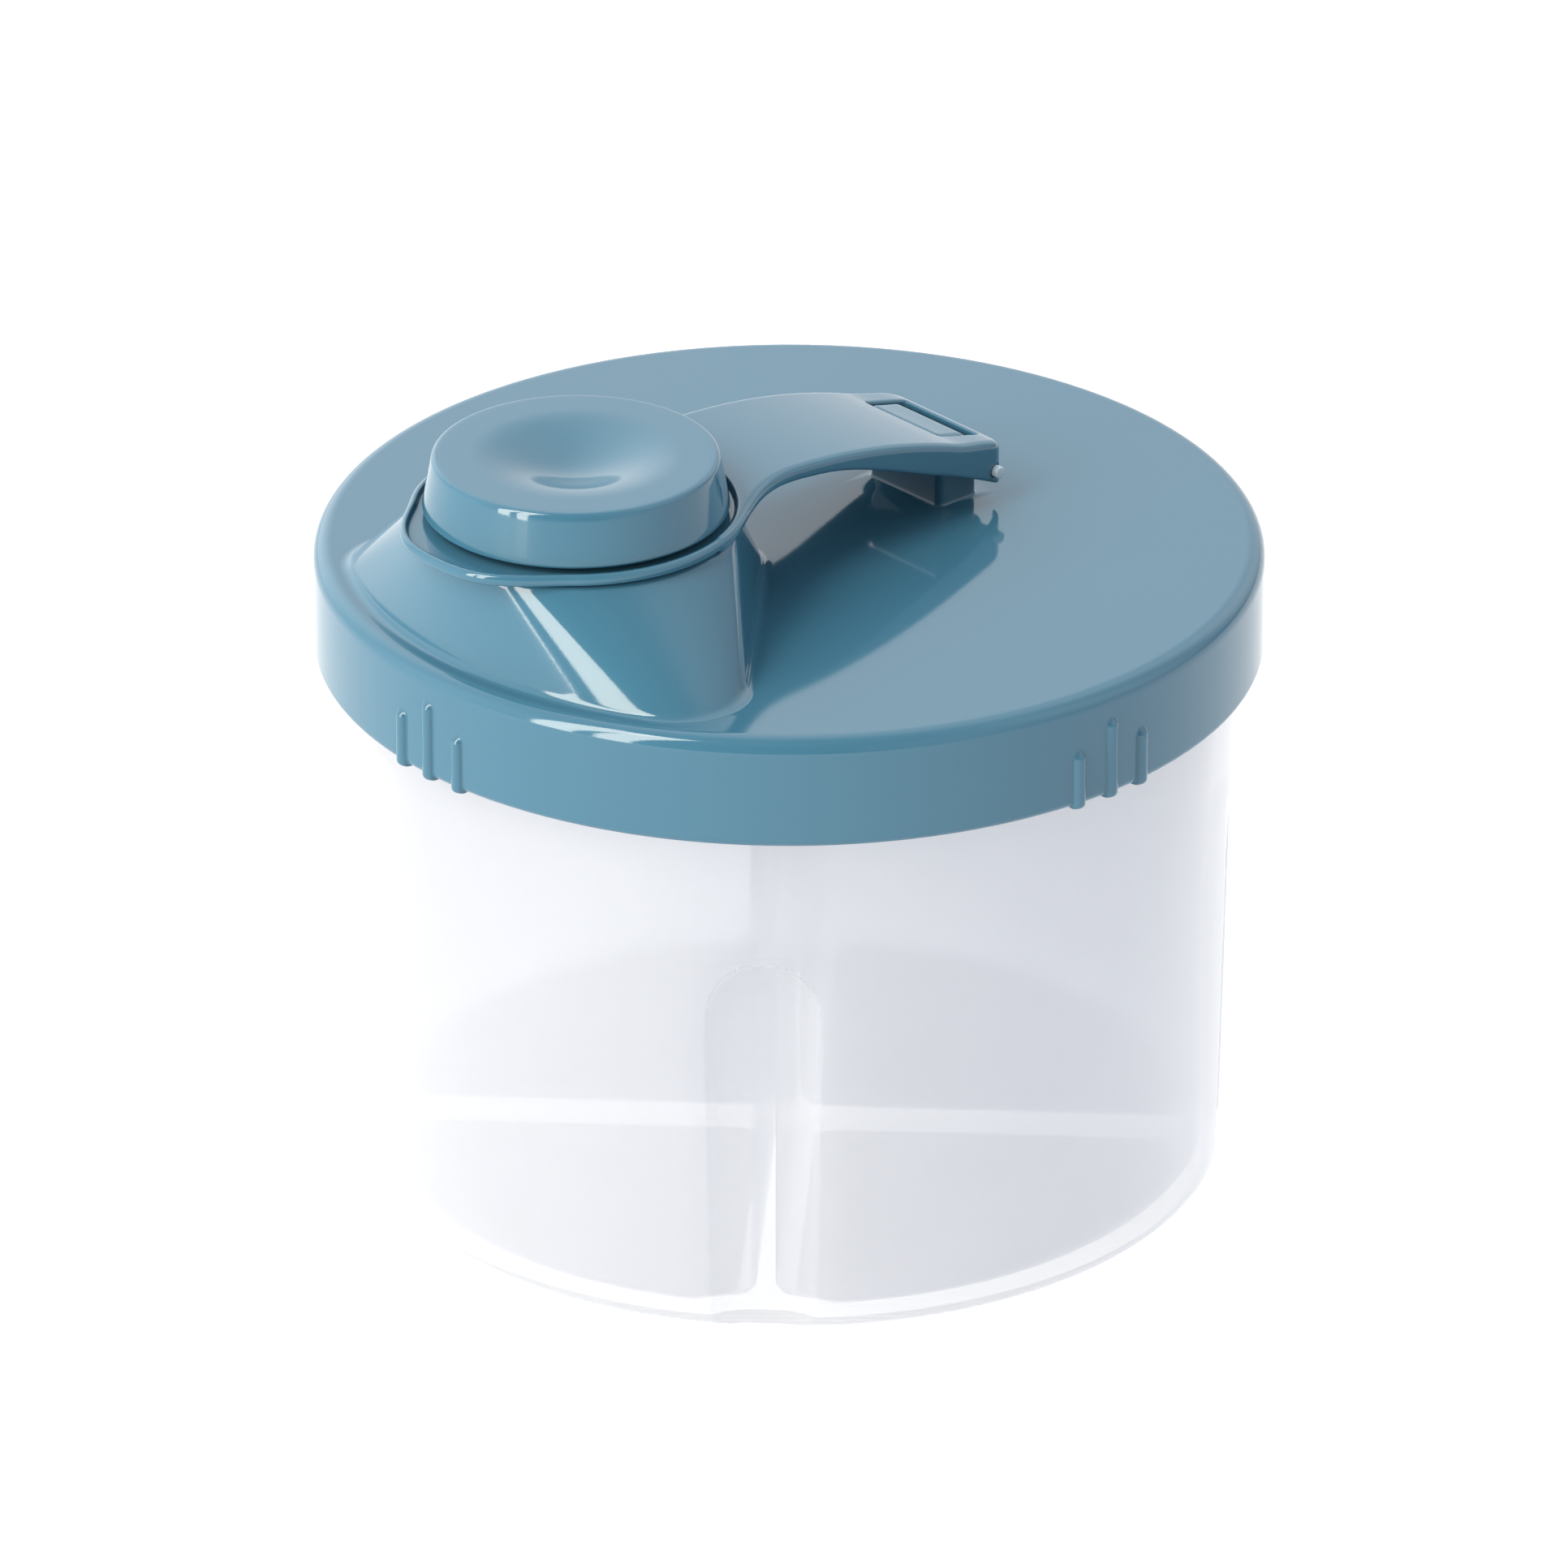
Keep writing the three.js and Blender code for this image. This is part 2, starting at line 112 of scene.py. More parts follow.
def rounded(corners, steps=6, spacing=None):
    """A path of (across, up) points through corners (across, up, radius), with each corner rounded.
    spacing, when given, is the longest straight step."""
    corners = [tuple(corner) + (0,) * (3 - len(corner)) for corner in corners]
    path = [np.array(corners[0][:2], float)]
    for before, corner, after in zip(corners, corners[1:], corners[2:]):
        here = np.array(corner[:2], float)
        back = np.array(before[:2], float) - here
        ahead = np.array(after[:2], float) - here
        back /= np.linalg.norm(back)
        ahead /= np.linalg.norm(ahead)
        if corner[2] == 0:
            path.append(here)
            continue
        half = math.acos(np.clip(back @ ahead, -1, 1)) / 2
        reach = corner[2] / math.tan(half)
        bisector = (back + ahead) / np.linalg.norm(back + ahead)
        centre = here + bisector * corner[2] / math.sin(half)
        first, last = here + back * reach - centre, here + ahead * reach - centre
        turn = math.acos(np.clip(first @ last / corner[2] ** 2, -1, 1))
        for i in range(steps + 1):
            t = i / steps
            weight = np.sin([(1 - t) * turn, t * turn]) / math.sin(turn)
            path.append(centre + weight[0] * first + weight[1] * last)
    path.append(np.array(corners[-1][:2], float))
    if spacing is None:
        return np.array(path)
    dense = [path[0]]
    for start, end in zip(path, path[1:]):
        pieces = max(1, math.ceil(np.linalg.norm(end - start) / spacing))
        dense += [start + (end - start) * (i + 1) / pieces for i in range(pieces)]
    return np.array(dense)


def lathe(name, profile, y=0.0, segments=256, ring=False):
    """A closed profile of (radius, z) turned about the vertical axis at x = 0, y."""
    angle = np.arange(segments) * 2 * math.pi / segments
    rows = [np.stack([r * np.cos(angle), y + r * np.sin(angle), np.full(segments, z)], -1)
            for r, z in profile]
    return mesh_piece(name, *closed_rows(rows, ring=ring))


def cut(piece, tool, operation="DIFFERENCE"):
    """Cuts tool from piece, or joins it, and removes tool."""
    change = piece.modifiers.new("cut", "BOOLEAN")
    change.operation = operation
    change.solver = "MANIFOLD"
    change.object = tool
    graph = bpy.context.evaluated_depsgraph_get()
    made = bpy.data.meshes.new_from_object(piece.evaluated_get(graph))
    piece.modifiers.clear()
    piece.data = made
    bpy.data.objects.remove(tool)


def crisp_edges(piece, degrees):
    piece.data.shade_smooth()
    piece.data.set_sharp_from_angle(angle=math.radians(degrees))


# ---- Distance fields: negative inside, in millimetres ----
def smooth_max(a, b, k):
    blend = np.maximum(k - np.abs(a - b), 0) / k
    return np.maximum(a, b) + blend * blend * k / 4


def smooth_min(a, b, k):
    return -smooth_max(-a, -b, k)


def smooth_step(t):
    t = np.clip(t, 0, 1)
    return t * t * (3 - 2 * t)


def round_box(u, v, half_u, half_v, radius):
    """Distance in a plane to a rectangle with rounded corners."""
    du, dv = np.abs(u) - half_u + radius, np.abs(v) - half_v + radius
    outside = np.hypot(np.maximum(du, 0), np.maximum(dv, 0))
    return outside + np.minimum(np.maximum(du, dv), 0) - radius


def slope_of(field, points, reach=0.01):
    """The field's gradient at each point."""
    slope = np.empty_like(points)
    for axis in range(3):
        step = np.zeros(3)
        step[axis] = reach
        slope[:, axis] = (field(points + step) - field(points - step)) / (2 * reach)
    return slope


def crossing_cells(value, grid, step):
    """For each cell of the grid, the mean of the points where its edges cross the surface."""
    inside = value < 0
    cells = tuple(n - 1 for n in value.shape)
    total, number = np.zeros(cells + (3,)), np.zeros(cells)
    for axis in range(3):
        near = [slice(None)] * 3
        near[axis] = slice(None, -1)
        far = [slice(None)] * 3
        far[axis] = slice(1, None)
        a, b = value[tuple(near)], value[tuple(far)]
        crosses = inside[tuple(near)] != inside[tuple(far)]
        share = np.where(crosses, a / np.where(crosses, a - b, 1), 0)
        point = grid[tuple(near)].copy()
        point[..., axis] += share * step
        point *= crosses[..., None]
        sides = [other for other in range(3) if other != axis]
        for first in (0, 1):
            for second in (0, 1):
                part = [slice(None)] * 3
                part[sides[0]] = slice(first, first + cells[sides[0]])
                part[sides[1]] = slice(second, second + cells[sides[1]])
                total += point[tuple(part)]
                number += crosses[tuple(part)]
    return total, number


def surface_quads(inside, index):
    """One quad round each grid edge that crosses the surface, facing out."""
    quads = []
    for axis in range(3):
        b, c = (axis + 1) % 3, (axis + 2) % 3
        a_in = np.moveaxis(inside, (axis, b, c), (0, 1, 2))
        order = np.moveaxis(index, (axis, b, c), (0, 1, 2))
        for leaving in (True, False):
            crosses = (a_in[:-1] == leaving) & (a_in[1:] != leaving)
            i, j, k = np.nonzero(crosses[:, 1:-1, 1:-1])
            quad = [order[i, j, k], order[i, j + 1, k], order[i, j + 1, k + 1], order[i, j, k + 1]]
            quads.append(np.stack(quad if leaving else quad[::-1], -1))
    return np.concatenate(quads)


def relaxed(points, quads):
    """Each point moved to the mean of its neighbours."""
    total, number = np.zeros_like(points), np.zeros(len(points))
    for start, end in ((0, 1), (1, 2), (2, 3), (3, 0)):
        for here, there in ((quads[:, start], quads[:, end]), (quads[:, end], quads[:, start])):
            for axis in range(3):
                total[:, axis] += np.bincount(here, points[there, axis], len(points))
            number += np.bincount(here, minlength=len(points))
    return total / number[:, None]


def field_piece(name, field, low, high, step):
    """A fine closed mesh of the surface where the field is 0, with the field's own normals."""
    axes = [np.arange(low[axis], high[axis] + step, step) for axis in range(3)]
    grid = np.stack(np.meshgrid(*axes, indexing="ij"), -1)
    value = field(grid.reshape(-1, 3)).reshape(grid.shape[:3])
    total, number = crossing_cells(value, grid, step)
    used = number > 0
    points = total[used] / number[used][:, None]
    index = np.full(number.shape, -1)
    index[used] = np.arange(len(points))
    quads = surface_quads(value < 0, index)
    rounds, relaxing_rounds, relaxing, least_slope, longest_move = 6, (1, 2), 0.6, 0.05, 0.4 * step
    for turn in range(rounds):
        if turn in relaxing_rounds:
            points = points + relaxing * (relaxed(points, quads) - points)
        slope = slope_of(field, points)
        size = np.maximum((slope ** 2).sum(1), least_slope)
        move = np.clip(field(points) / size, -longest_move, longest_move)
        points = points - move[:, None] * slope
    normals = slope_of(field, points)
    normals /= np.maximum(np.linalg.norm(normals, axis=1), 1e-6)[:, None]
    return mesh_piece(name, points, quads, normals)


# ---- Pot ----
FLUTE_TOP, FLUTE_RADIUS, FLUTE_WALL = 45.0, 56.9, 1.8
FLUTE_HALF, FLUTE_DEPTH, FLUTE_REACH = 7.3, 3.0, 9


def flute_depth(distance):
    """How deep a flute is at a distance from its middle: nearly flat there, and steep at its edges."""
    flatness, steepness = 2.6, 0.62
    t = np.clip(distance / FLUTE_HALF, 0, 1)
    return FLUTE_DEPTH * (1 - t ** flatness) ** steepness


def pot_columns():
    """Angles round the pot, close together at the four flutes."""
    fine, coarse, gap = 61, 50, 0.02
    across = np.linspace(-FLUTE_REACH, FLUTE_REACH, fine) / FLUTE_RADIUS
    between = np.linspace(0, math.pi / 2, coarse)[:-1]
    edge = FLUTE_REACH / FLUTE_RADIUS + gap
    plain = between[(between > edge) & (between < math.pi / 2 - edge)]
    quarter = np.sort(np.concatenate([across, plain]))
    return np.concatenate([quarter + math.radians(45 + 90 * turn) for turn in range(4)])


def close_rows_at(path, low, high, step):
    """The path with more points between two heights, a step apart."""
    dense = [path[0]]
    for start, end in zip(path, path[1:]):
        inside = low < max(start[1], end[1]) and min(start[1], end[1]) < high
        count = max(1, math.ceil(np.linalg.norm(end - start) / step)) if inside else 1
        dense += [start + (end - start) * (i + 1) / count for i in range(count)]
    return dense


def pot_shell():
    """The pot's outside with its flutes, filled up to the dividers' tops."""
    angle = pot_columns()
    off = (angle - math.radians(45) + math.pi / 4) % (math.pi / 2) - math.pi / 4
    foot, shoulder, neck, bead, rim_bore, bore = 56.1, 57.7, 57.2, 57.9, 55.3, 54.9
    wall = rounded([(1, 0), (foot, 0, 2), (shoulder, 72.5, 0.3), (neck, 73.6, 0.3), (neck, 75.6, 0.3),
                    (bead, 76.6, 0.5), (neck, 77.6, 0.3), (neck, POT_RIM, 0.5), (rim_bore, POT_RIM, 0.2),
                    (bore, DIVIDER_TOP, 0.3), (1, DIVIDER_TOP)], steps=6, spacing=1.9)
    wall = close_rows_at(wall, FLUTE_TOP + 1, FLUTE_TOP + FLUTE_REACH, step=0.4)
    fade, blend = 1.5, 0.5
    rows = []
    for radius, z in wall:
        across = FLUTE_RADIUS * np.abs(np.sin(off))
        distance = np.hypot(across, max(0.0, z - FLUTE_TOP))
        limit = (FLUTE_RADIUS - flute_depth(distance)) / np.cos(off)
        open_flute = smooth_step((FLUTE_TOP + FLUTE_REACH - z) / fade)
        r = radius - open_flute * (radius - smooth_min(np.full_like(off, radius), limit, blend))
        rows.append(np.stack([r * np.cos(angle), r * np.sin(angle), np.full_like(angle, z)], -1))
    return mesh_piece("pot_body", *closed_rows(rows))


def pocket_field(x, y, z):
    """The front compartment: between two dividers, inside the wall and clear of the flutes' backs."""
    diagonal = math.sqrt(0.5)
    floor_bore, widening, divider_fillet, flute_fillet = 54.3, 1.2, 3.0, 2.0
    field = np.hypot(x, y) - (floor_bore + widening * z / POT_RIM)
    for side in (1, -1):
        across = -(side * x + y) * diagonal
        along = (side * x - y) * diagonal
        field = smooth_max(field, DIVIDER_HALF - across, divider_fillet)
        distance = np.hypot(across, np.maximum(0, z - FLUTE_TOP)) - FLUTE_WALL
        back = FLUTE_RADIUS - FLUTE_WALL - flute_depth(np.maximum(distance, 0))
        field = smooth_max(field, along - back, flute_fillet)
    return field


def pocket(turn):
    """The space of one compartment, turned by quarter turns, as rows found outwards from its middle."""
    middle_y, width, farthest, halvings, level_count = -30.0, 200, 45.0, 26, 34
    angle = np.arange(width) * 2 * math.pi / width
    ways = np.stack([np.cos(angle), np.sin(angle)], -1)
    corner = 2.5
    bends = [(corner * (1 - math.sin(a)), FLOOR_Z + corner * (1 - math.cos(a)))
             for a in np.linspace(0, math.pi / 2, 7)]
    levels = bends + [(0, z) for z in np.linspace(FLOOR_Z + corner, DIVIDER_TOP + 2, level_count)[1:]]
    rows = []
    for inset, z in levels:
        near, far = np.zeros(width), np.full(width, farthest)
        for _ in range(halvings):
            reach = (near + far) / 2
            x, y = ways[:, 0] * reach, middle_y + ways[:, 1] * reach
            is_inside = pocket_field(x, y, z) < -inset
            near, far = np.where(is_inside, reach, near), np.where(is_inside, far, reach)
        rows.append(np.stack([ways[:, 0] * near, middle_y + ways[:, 1] * near, np.full(width, z)], -1))
    points, faces = closed_rows(rows)
    c, s = math.cos(turn * math.pi / 2), math.sin(turn * math.pi / 2)
    points = points @ np.array([[c, s, 0], [-s, c, 0], [0, 0, 1]])
    return mesh_piece("pocket", points, faces)


def make_pot():
    body = pot_shell()
    for turn in range(4):
        cut(body, pocket(turn))
    crisp_edges(body, 35)
    return body


# ---- Lid ----
def chute_foot(inset, count=4000):
    """Points round the chute's rounded quarter sector and the direction each faces, evenly spaced."""
    outer, side, corner, inner = 57 - inset, 2.7 + inset, 9 - inset, 6.5 - inset
    reach = outer - corner
    lean = math.radians(45) - math.asin((side + corner) / reach)
    corner_at = (reach * math.sin(lean), -reach * math.cos(lean))
    tip_at = (0.0, -(side + inner) * math.sqrt(2))
    quarter = math.pi / 2
    arcs = [((0.0, 0.0), outer, -quarter, -quarter + lean),
            (corner_at, corner, -quarter + lean, quarter / 2),
            (tip_at, inner, quarter / 2, quarter)]
    points, faces_to = [], []
    for centre, radius, start, end in arcs:
        for a in np.linspace(start, end, 200):
            points.append((centre[0] + radius * math.cos(a), centre[1] + radius * math.sin(a)))
            faces_to.append(a)
    points += [(-x, y) for x, y in points[-2:0:-1]]
    faces_to += [math.pi - a for a in faces_to[-2:0:-1]]
    points, faces_to = np.array(points + points[:1]), np.array(faces_to + [faces_to[0] + 2 * math.pi])
    length = np.concatenate([[0], np.cumsum(np.linalg.norm(np.diff(points, axis=0), axis=1))])
    at = np.linspace(0, length[-1], count + 1)
    spread = [np.interp(at, length, points[:, 0]), np.interp(at, length, points[:, 1])]
    return np.stack(spread, -1), np.interp(at, length, faces_to)


RIB_RADIUS, RIB_PROUD, RIB_STEP = 0.95, 0.7, 5.0
RIB_TALL, RIB_SHORT, RIB_BLEND = 10.9, 7.9, 0.12
RIBS = [(side + place * RIB_STEP, RIB_SHORT if place else RIB_TALL)
        for side in (-90, 0, 90, 180) for place in (-1, 0, 1)]


def rib_height(angle, z):
    """How far the grip ribs stand out of the skirt."""
    height = np.zeros_like(angle)
    for degrees, tall in RIBS:
        off = (angle - math.radians(degrees) + math.pi) % (2 * math.pi) - math.pi
        distance = np.hypot(LID_RADIUS * off, max(0.0, z - (SKIRT_Z - 0.4 + tall - RIB_RADIUS)))
        proud = np.sqrt(np.maximum(RIB_RADIUS ** 2 - distance ** 2, 0)) - (RIB_RADIUS - RIB_PROUD)
        height = np.maximum(height, smooth_max(proud, np.zeros_like(proud), RIB_BLEND))
    least = 0.031
    return np.where(height > least, height, 0)


def lid_columns():
    """The chute's foot points, their directions and the rim's angles for each column of the lid."""
    foot, faces_to = chute_foot(0)
    inner, _ = chute_foot(CHUTE_WALL)
    hub, rim = np.array([0, -33.0]), LID_RADIUS - 2.3
    way = foot - hub
    along = (way ** 2).sum(1)
    dot = way @ hub
    scale = (-dot + np.sqrt(dot ** 2 - along * (hub @ hub - rim ** 2))) / along
    ends = hub + way * scale[:, None]
    angle = np.unwrap(np.arctan2(ends[:, 1], ends[:, 0]))
    offsets = np.array([0, 0.3, 0.55, 0.7, 0.8, 0.87, 0.93, 1.02, 1.15])
    offsets = np.concatenate([-offsets[:0:-1], offsets]) / LID_RADIUS
    ribs = np.concatenate([math.radians(degrees) + offsets for degrees, _ in RIBS])
    ribs = angle[0] + (ribs - angle[0]) % (2 * math.pi)
    every, least_gap = 18, 0.004
    base = angle[::every][:-1]
    clear = np.array([np.abs(base_angle - ribs).min() > least_gap for base_angle in base])
    chosen = np.sort(np.concatenate([base[clear], ribs]))
    pick = [np.interp(chosen, angle, column) for column in (*foot.T, *inner.T, faces_to)]
    return chosen, np.stack(pick[:2], -1), np.stack(pick[2:4], -1), pick[4]


def lid_shell():
    """The lid as one closed strip: from the mouth down the chute, over the top, round the skirt, and
    back along the underside and up inside the chute."""
    angle, foot, inner_foot, facing = lid_columns()
    out = np.stack([np.cos(facing), np.sin(facing)], -1)
    mouth = np.array([0, MOUTH_Y]) + MOUTH_RADIUS * out
    inner_mouth = np.array([0, MOUTH_Y]) + (MOUTH_RADIUS - CHUTE_WALL) * out

    def level(flat, z):
        return np.column_stack([flat, np.full(len(flat), z)])

    height = MOUTH_TOP - LID_TOP
    lip, fillet_up, fillet_out = 0.35, 1.0, 1.1

    def wall(t):
        return level(foot + (mouth - foot) * t, LID_TOP + height * t)

    rows = [level(mouth - out * lip, MOUTH_TOP)]
    rows += [0.5 * wall(1) + 0.25 * (rows[0] + wall(1 - lip / height))]
    rows += [wall(t) for t in np.linspace(1 - lip / height, fillet_up / height, 22)]
    start, middle, end = rows[-1], wall(0), level(foot + out * fillet_out, LID_TOP)
    for s in np.linspace(0, 1, 8)[1:]:
        rows.append((1 - s) ** 2 * start + 2 * s * (1 - s) * middle + s ** 2 * end)
    inside, snap = 58.4, 58.15
    section = rounded([(LID_RADIUS - 2.4, LID_TOP), (LID_RADIUS, LID_TOP, 2.2), (LID_RADIUS, SKIRT_Z, 0.9),
                       (58.7, SKIRT_Z, 0.3), (inside, 73.8, 0.3), (snap, 74.6, 0.3), (inside, 75.4, 0.3),
                       (inside, PLATE_BOTTOM, 1.0), (57.2, PLATE_BOTTOM)], steps=8, spacing=0.3)
    rim = np.stack([np.cos(angle), np.sin(angle)], -1)
    edge = level(rim * section[0][0], LID_TOP)
    rows += [end + (edge - end) * s for s in np.linspace(0, 1, 10)[1:-1]]
    rib_start, rib_fade, rib_drop, drop_fade = 1.2, 0.6, 0.4, 0.3
    for radius, z in section:
        reach, drop = np.full_like(angle, radius), 0
        if radius > LID_RADIUS - rib_start and z < LID_TOP - 2:
            reach += rib_height(angle, z) * smooth_step((radius - LID_RADIUS + rib_start) / rib_fade)
            if z < SKIRT_Z + 0.9:
                drop = rib_drop * smooth_step(rib_height(angle, SKIRT_Z + 1) / drop_fade)
        rows.append(level(rim * reach[:, None], z))
        rows[-1][:, 2] -= drop
    under = level(inner_foot, PLATE_BOTTOM)
    rows += [rows[-1] + (under - rows[-1]) * s for s in np.linspace(0, 1, 8)[1:]]
    top = level(inner_mouth, MOUTH_TOP)
    rows += [under + (top - under) * t for t in np.linspace(0, 1, 22)[1:]]
    return mesh_piece("lid_body", *closed_rows(rows, ring=True))


ARM_CREST_Y = -13


def arm_top(y):
    """The arm's arched top, which levels out at its end."""
    crest, bend, level_from, level_length = LID_TOP + 16.1, 96, 19, 9
    arch = crest - bend + np.sqrt(bend ** 2 - (y - ARM_CREST_Y) ** 2)
    return arch + smooth_step((y - level_from) / level_length)


def skirt_edge(y):
    """The lower edge of the arm's side skirts, which are deeper towards the hinge."""
    crest, crest_y, bend, deeper, deeper_from, deeper_length = LID_TOP + 14.4, -16, 95, 1.7, -4, 20
    arch = crest - bend + np.sqrt(bend ** 2 - (y - crest_y) ** 2)
    return arch - deeper * smooth_step((y - deeper_from) / deeper_length)


def lug_field(points):
    """The hinge lug: a block whose top follows the arm, a little lower, and whose back is round the pin."""
    x, y, z = points.T
    front, rear, bend_y, bend_rise, lean = 19.75, 26.4, 24.9, 7.77, math.radians(17.8)
    crown_gap, boss_radius, overlap, foot_middle, foot_half, depth = 0.15, 1.45, 0.05, 23, 6, 1.2
    from_pin = np.hypot(y - PIN_Y, z - PIN_Z)
    back = (y - bend_y) * math.cos(lean) + (z - LID_TOP - bend_rise) * math.sin(lean)
    ends = smooth_max(smooth_max(front - y, y - rear, 0.5), back, 0.5)
    crown = smooth_max(ends, z - arm_top(y) + crown_gap, 0.7)
    block = smooth_max(smooth_min(crown, from_pin - boss_radius, 0.5), np.abs(x) - LUG_HALF, 1.2)
    foot = smooth_min(block, z - LID_TOP + overlap, 0.6)
    footing = np.maximum(np.abs(x) - LUG_HALF - 2, np.abs(y - foot_middle) - foot_half)
    below = smooth_max(foot, footing, 0.1)
    hole = PIN_RADIUS + PIN_PLAY - from_pin
    return smooth_max(smooth_max(below, LID_TOP - depth - z, 0.1), hole, 0.1)


def make_lid():
    body = lid_shell()
    low, high = (-9.2, 16.4, LID_TOP - 1.8), (9.2, 29.6, LID_TOP + 11)
    cut(body, field_piece("lug", lug_field, low, high, step=0.24), "UNION")
    crisp_edges(body, 42)
    return body


# ---- Flip cap ----
PLATE_RADIUS = 21.2
THUMB_REACH, THUMB_SPAN, THUMB_FADE = 2.7, 48, 36
PLATE_LOW, TROUGH, PLATE_TOP = LID_TOP + 13.8, LID_TOP + 14.6, LID_TOP + 15.4
LIP_WIDTH = 0.95
ARM_HALF, ARM_START, ARM_END, ARM_WALL = 11.2, -34, 28.0, 1.2
SLOT_HALF, SLOT_LOW, SLOT_HIGH = 7.0, 19.3, 26.2
DRUM_RADIUS, DRUM_TOP, DRUM_WALL = 16.9, LID_TOP + 17.2, 1.5
PLUG_Z, PLUG_BORE = LID_TOP + 9.5, 15.3
GROOVE_IN, GROOVE_OUT, GROOVE_RISE, GROOVE_HALF = 16, 18, 12, 0.9


def plate_plan(x, y):
    """Distance in plan to the round plate with its thumb rest."""
    off = np.abs(np.degrees(np.arctan2(x, MOUTH_Y - y)))
    thumb_rest = THUMB_REACH * smooth_step((THUMB_SPAN - off) / THUMB_FADE)
    return np.hypot(x, y - MOUTH_Y) - PLATE_RADIUS - thumb_rest


def arm_plan(x, y, inset):
    """Distance in plan to the arm, which narrows a little towards its rounded end."""
    taper, taper_from, taper_length, corner = 0.6, 20, 5.5, 2.5
    half = ARM_HALF - taper * np.clip((y - taper_from) / taper_length, 0, 1) - inset
    middle, half_length = (ARM_END + ARM_START) / 2, (ARM_END - ARM_START) / 2
    return round_box(x, y - middle, half, half_length, corner)


def cap_plan(x, y, inset):
    """The plate and the arm in plan with a fillet between them, inset by a wall."""
    fillet = 9 - inset
    return smooth_min(plate_plan(x, y) + inset, arm_plan(x, y, inset), fillet)


def arm_field(x, y, z):
    """The arm: a hollow, arched beam with skirts at its sides and a slot for the hinge lug."""
    bend, root, rise_length = 92, -29, 13
    tilt = 1 / np.sqrt(1 + ((y - ARM_CREST_Y) / bend) ** 2)
    rise = smooth_step((y - root) / rise_length)
    top = z - (PLATE_TOP + (arm_top(y) - PLATE_TOP) * rise)
    body = smooth_max(cap_plan(x, y, 0), top * tilt, 1.1)
    body = smooth_max(body, (skirt_edge(y) - z) * tilt, 0.5)
    body = smooth_max(body, root - y, 0.5)
    inside = smooth_max(cap_plan(x, y, ARM_WALL), (top + ARM_WALL) * tilt, 0.8)
    inside = smooth_max(inside, MOUTH_Y + PLATE_RADIUS + 1 - y, 0.8)
    body = smooth_max(body, -inside, 0.4)
    slot = round_box(x, y - (SLOT_LOW + SLOT_HIGH) / 2, SLOT_HALF, (SLOT_HIGH - SLOT_LOW) / 2, 0.5)
    return smooth_max(body, -slot, 0.5)


def cap_field(points):
    """The flip cap: a lipped plate with the arm, the plug with its seal groove, and the knob's drum."""
    x, y, z = points.T
    radius = np.hypot(x, y - MOUTH_Y)
    plan = plate_plan(x, y)
    middle, half = (PLATE_LOW + PLATE_TOP) / 2, (PLATE_TOP - PLATE_LOW) / 2
    plate = smooth_max(plan, np.abs(z - middle) - half, 0.8)
    body = smooth_min(plate, arm_field(x, y, z), 0.8)
    trough = smooth_max(plan + LIP_WIDTH, TROUGH - z, 0.5)
    body = smooth_max(body, -trough, 0.4)
    drum = smooth_max(radius - DRUM_RADIUS, np.maximum(z - DRUM_TOP, PLUG_Z - z), 0.8)
    body = smooth_min(body, drum, 0.5)
    groove = np.maximum(GROOVE_IN - radius, radius - GROOVE_OUT)
    groove = np.maximum(groove, np.abs(z - LID_TOP - GROOVE_RISE) - GROOVE_HALF)
    body = np.maximum(body, -groove)
    hollow = smooth_max(radius - PLUG_BORE, z - DRUM_TOP + DRUM_WALL, 1.0)
    body = smooth_max(body, -hollow, 0.3)
    hole = PIN_RADIUS + PIN_PLAY - np.hypot(y - PIN_Y, z - PIN_Z)
    return np.maximum(body, hole)


def make_cap():
    low = (-23.2, MOUTH_Y - 25.6, LID_TOP + 1.2)
    high = (23.2, ARM_END + 1.2, LID_TOP + 18.4)
    return field_piece("cap_body", cap_field, low, high, step=0.305)


# ---- Knob, pin and seals ----
def make_knob():
    """A hollow round cap with flared sides and a wide dish in its top."""
    low, top = LID_TOP + 15.5, LID_TOP + 22.5
    bottom_radius, top_radius, wall, dish_radius, dish_depth = 19.5, 18.15, 1.8, 13.5, 2.4

    def dish(r):
        return top - dish_depth * 0.5 * (1 + np.cos(math.pi * r / dish_radius))

    bowl = [(r, dish(r)) for r in np.linspace(0.05, dish_radius, 40)]
    under = [(r, dish(r) - wall) for r in np.linspace(dish_radius, 0.05, 16)]
    side = rounded([bowl[-1], (top_radius, top, 0.7), (bottom_radius, low, 0.35),
                    (bottom_radius - wall, low, 0.25), (top_radius - wall, top - wall, 0.8), under[0]],
                   steps=8, spacing=0.8)
    return lathe("knob_body", bowl[:-1] + [tuple(point) for point in side] + under[1:], MOUTH_Y)


def make_pin():
    """The hinge pin, with rounded ends."""
    bevel, core, sides = 0.2, 0.05, 48
    outline = rounded([(-PIN_HALF, core), (-PIN_HALF, PIN_RADIUS, bevel), (PIN_HALF, PIN_RADIUS, bevel),
                       (PIN_HALF, core)], steps=5, spacing=2)
    angle = np.arange(sides) * 2 * math.pi / sides
    rows = [np.stack([np.full(sides, x), PIN_Y + r * np.cos(angle), PIN_Z + r * np.sin(angle)], -1)
            for x, r in outline]
    return mesh_piece("pin_body", *closed_rows(rows))


RING_WIDTHS = {"rim_seal": 1.8, "spout_seal": 1.5}


